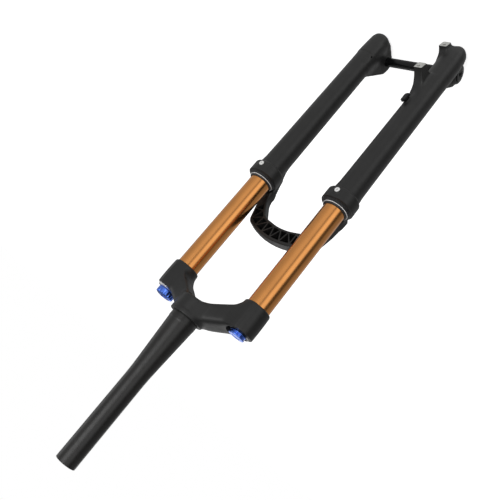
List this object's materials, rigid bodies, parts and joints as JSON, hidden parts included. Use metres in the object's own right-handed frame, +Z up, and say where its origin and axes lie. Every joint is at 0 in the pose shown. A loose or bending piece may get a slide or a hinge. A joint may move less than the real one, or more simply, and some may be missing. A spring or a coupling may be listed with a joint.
{
  "type": "suspension fork",
  "caption": "Telescopic mountain-bike suspension fork: tapered steerer and crown, two bronze-gold stanchions sliding in a one-piece black lower with a ribbed arch, brake posts and a thru axle.",
  "frame": {"origin": "on the steerer's axis at the top of the crown, 3.6 mm above the shoulder that the lower headset race sits on", "axes": "+Z up the steerer, -Y the front of the bicycle, +X the rider's left (the brake's side)"},
  "size_m": [0.1888, 0.0888, 0.8143],
  "materials": {
    "black_satin": "satin black paint over cast or forged metal",
    "black_anodised": "black anodised",
    "black_rubber": "moulded, matte",
    "bronze_gold": "bronze-gold hard anodised, polished",
    "blue_anodised": "blue anodised",
    "bare_metal": "machined, bare",
    "steel": "ground or plated steel",
    "bronze_bush": "bronze-backed polymer bush",
    "foam": "oil-soaked open-cell foam",
    "elastomer": "moulded polyurethane"
  },
  "bodies": {
    "crown_assembly": {"steerer_tube": "black_anodised", "crown": "black_satin", "stanchion_left": "bronze_gold", "stanchion_right": "bronze_gold", "air_top_cap": "black_anodised", "air_valve_core": "bare_metal", "damper_top_cap": "bare_metal", "air_seal_head": "black_anodised", "damper_cartridge_tube": "bare_metal", "base_valve": "bare_metal", "damper_seal_head": "black_anodised"},
    "lowers": {"lowers": "black_satin", "wiper_seal_left": "black_rubber", "wiper_seal_right": "black_rubber", "garter_spring_left": "steel", "garter_spring_right": "steel", "foam_ring_left": "foam", "foam_ring_right": "foam", "bush_upper_left": "bronze_bush", "bush_lower_left": "bronze_bush", "bush_upper_right": "bronze_bush", "bush_lower_right": "bronze_bush", "bleed_screw_left": "bare_metal", "bleed_screw_right": "bare_metal", "air_shaft": "steel", "air_piston": "black_anodised", "top_out_bumper": "elastomer", "bottom_out_bumper": "elastomer", "foot_nut_left": "steel", "foot_nut_right": "steel", "crush_washer_left": "bare_metal", "crush_washer_right": "bare_metal", "damper_shaft": "steel", "damper_piston": "bare_metal", "hose_guide": "black_anodised", "hose_guide_screw": "steel"},
    "compression_dial": {"compression_knob": "blue_anodised"},
    "valve_cap": {"air_valve_cap": "blue_anodised"},
    "rebound_dial": {"rebound_knob": "blue_anodised"},
    "axle": {"thru_axle": "black_anodised"}
  },
  "joints": [
    {"name": "lowers_slide", "type": "slide", "parent": "crown_assembly", "child": "lowers", "axis": [0, 0, 1], "range_m": [0, 0.16], "stiffness_N_per_m": 5000, "springref_m": -0.02},
    {"name": "compression_turn", "type": "hinge", "parent": "crown_assembly", "child": "compression_dial", "pos_m": [-0.071, -0.016, -0.029], "axis": [0, 0, 1], "range_deg": [0, 270]},
    {"name": "valve_cap_lift", "type": "slide", "parent": "crown_assembly", "child": "valve_cap", "axis": [0, 0, 1], "range_m": [0, 0.015]},
    {"name": "rebound_turn", "type": "hinge", "parent": "lowers", "child": "rebound_dial", "pos_m": [-0.071, -0.016, -0.591], "axis": [0, 0, 1], "range_deg": [0, 270]},
    {"name": "axle_pull", "type": "slide", "parent": "lowers", "child": "axle", "axis": [1, 0, 0], "range_m": [0, 0.14]}
  ]
}
